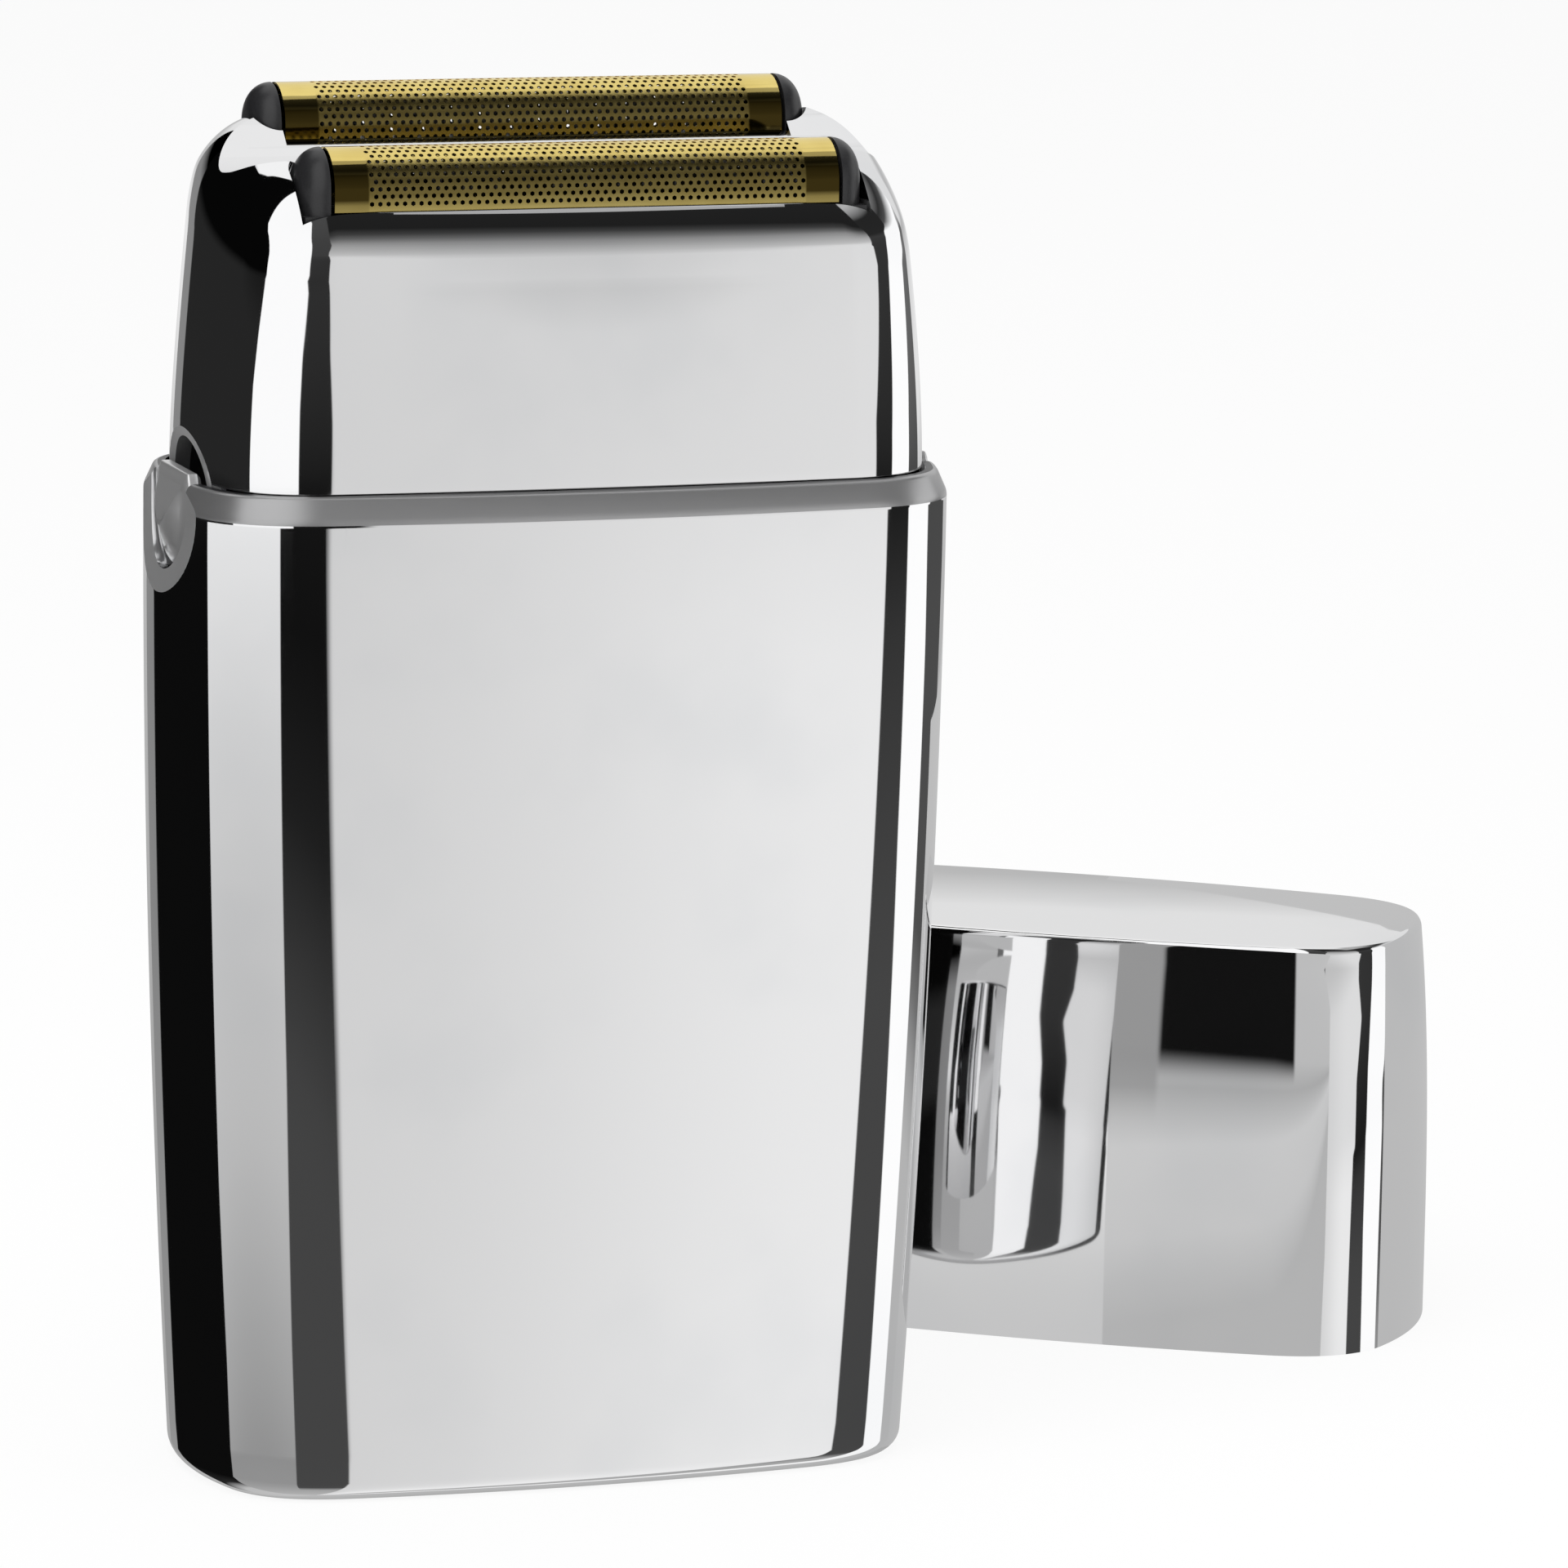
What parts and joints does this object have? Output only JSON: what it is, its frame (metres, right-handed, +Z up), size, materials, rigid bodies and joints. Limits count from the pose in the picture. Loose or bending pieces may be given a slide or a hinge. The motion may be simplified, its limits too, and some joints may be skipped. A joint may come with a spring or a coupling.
{
  "type": "foil shaver",
  "caption": "Cordless foil shaver with a chromed oval body, lift-off head carrying gold perforated foils over sprung cutters, side release buttons, and a chromed cap standing beside it.",
  "frame": {"origin": "middle of the shaver's flat bottom, on the surface it stands on", "axes": "+Z up along the body, -Y out of its front face, +X to the right seen from the front, where the cap stands"},
  "size_m": [0.1193, 0.0786, 0.1082],
  "materials": {
    "body_chrome": "mirror-polished chrome plate",
    "gold_foil": "gold-coloured coating on thin steel",
    "black_plastic": "black, half gloss",
    "grey_plastic": "moulded",
    "white_plastic": "moulded",
    "steel": "ground steel",
    "battery_sleeve": "shrink sleeve",
    "board": "solder mask",
    "pin_brass": "plain",
    "lens": "clear lens"
  },
  "bodies": {
    "housing": {"housing_shell": "body_chrome", "bottom_cover": "black_plastic", "bottom_screw_left": "steel", "bottom_screw_right": "steel", "charge_socket": "black_plastic", "socket_pin": "pin_brass", "chassis": "grey_plastic", "battery": "battery_sleeve", "circuit_board": "board", "switch_block": "steel", "switch_bezel": "black_plastic", "led_lens": "lens", "motor": "steel", "deck": "grey_plastic", "deck_screw_left": "steel", "deck_screw_right": "steel"},
    "head": {"head_shell": "body_chrome", "foil_frame_front": "black_plastic", "foil_frame_rear": "black_plastic", "foil_front": "gold_foil", "foil_rear": "gold_foil"},
    "button_left": {"release_button_left": "body_chrome"},
    "button_right": {"release_button_right": "body_chrome"},
    "thumb_switch": {"power_switch": "black_plastic"},
    "eccentric": {"drive_eccentric": "steel"},
    "carrier_front": {"oscillator_front": "white_plastic", "cutter_spring_front": "steel"},
    "carrier_rear": {"oscillator_rear": "white_plastic", "cutter_spring_rear": "steel"},
    "comb_front": {"cutter_front": "steel"},
    "comb_rear": {"cutter_rear": "steel"},
    "cap": {"cap": "body_chrome"}
  },
  "joints": [
    {"name": "head_lift", "type": "slide", "parent": "housing", "child": "head", "axis": [0, 0, 1], "range_m": [0, 0.04]},
    {"name": "button_left_press", "type": "slide", "parent": "housing", "child": "button_left", "axis": [1, 0, 0], "range_m": [0, 0.001], "stiffness_N_per_m": 1500, "springref_m": -0.0005},
    {"name": "button_right_press", "type": "slide", "parent": "housing", "child": "button_right", "axis": [-1, 0, 0], "range_m": [0, 0.001], "stiffness_N_per_m": 1500, "springref_m": -0.0005},
    {"name": "switch_slide", "type": "slide", "parent": "housing", "child": "thumb_switch", "axis": [0, 0, 1], "range_m": [0, 0.005]},
    {"name": "motor_turn", "type": "hinge", "parent": "housing", "child": "eccentric", "pos_m": [0, 0, 0.077], "axis": [0, 0, 1], "continuous": true},
    {"name": "carrier_front_stroke", "type": "slide", "parent": "housing", "child": "carrier_front", "axis": [1, 0, 0], "range_m": [-0.0008, 0.0008]},
    {"name": "carrier_rear_stroke", "type": "slide", "parent": "housing", "child": "carrier_rear", "axis": [1, 0, 0], "range_m": [-0.0008, 0.0008]},
    {"name": "cutter_front_float", "type": "slide", "parent": "carrier_front", "child": "comb_front", "axis": [0, 0, -1], "range_m": [0, 0.0008], "stiffness_N_per_m": 600, "springref_m": -0.001, "deforming": ["cutter_spring_front"]},
    {"name": "cutter_rear_float", "type": "slide", "parent": "carrier_rear", "child": "comb_rear", "axis": [0, 0, -1], "range_m": [0, 0.0008], "stiffness_N_per_m": 600, "springref_m": -0.001, "deforming": ["cutter_spring_rear"]},
    {"name": "cap_lift", "type": "slide", "parent": "housing", "child": "cap", "axis": [0, 0, 1], "range_m": [0, 0.1]}
  ],
  "couplings": [
    {"joint": "carrier_rear_stroke", "follows": "carrier_front_stroke", "ratio": -1}
  ]
}
